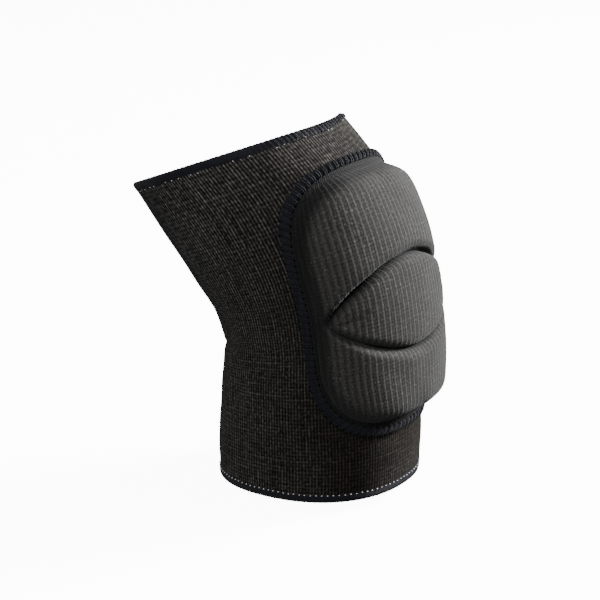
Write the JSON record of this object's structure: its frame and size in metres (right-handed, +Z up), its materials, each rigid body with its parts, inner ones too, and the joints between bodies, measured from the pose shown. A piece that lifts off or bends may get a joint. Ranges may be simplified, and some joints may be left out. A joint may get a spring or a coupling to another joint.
{
  "type": "volleyball knee pad",
  "caption": "Knitted elastic knee sleeve with overlocked rims and a thick ribbed front pad whose raised kneecap lies between bending grooves.",
  "frame": {"origin": "centre of the knee on the leg's middle line, where the calf and thigh stretches of the sleeve meet (mount knee)", "axes": "+Z up along the calf, -Y to the front where the pad is, +X to the wearer's left; the thigh stretch leans back towards +Y"},
  "size_m": [0.125, 0.1865, 0.2095],
  "materials": {
    "knit": "fine elastic knit, near black, matt",
    "ribbed_cover": "ribbed knit over foam, charcoal grey, matt",
    "thread": "overlock thread, blue black, slight sheen"
  },
  "bodies": {
    "root": {"knit_sleeve": "knit", "thigh_hem": "thread", "calf_hem": "thread", "pad_cushion": "ribbed_cover", "kneecap_cushion": "ribbed_cover", "pad_edge_seam": "thread"}
  },
  "joints": []
}
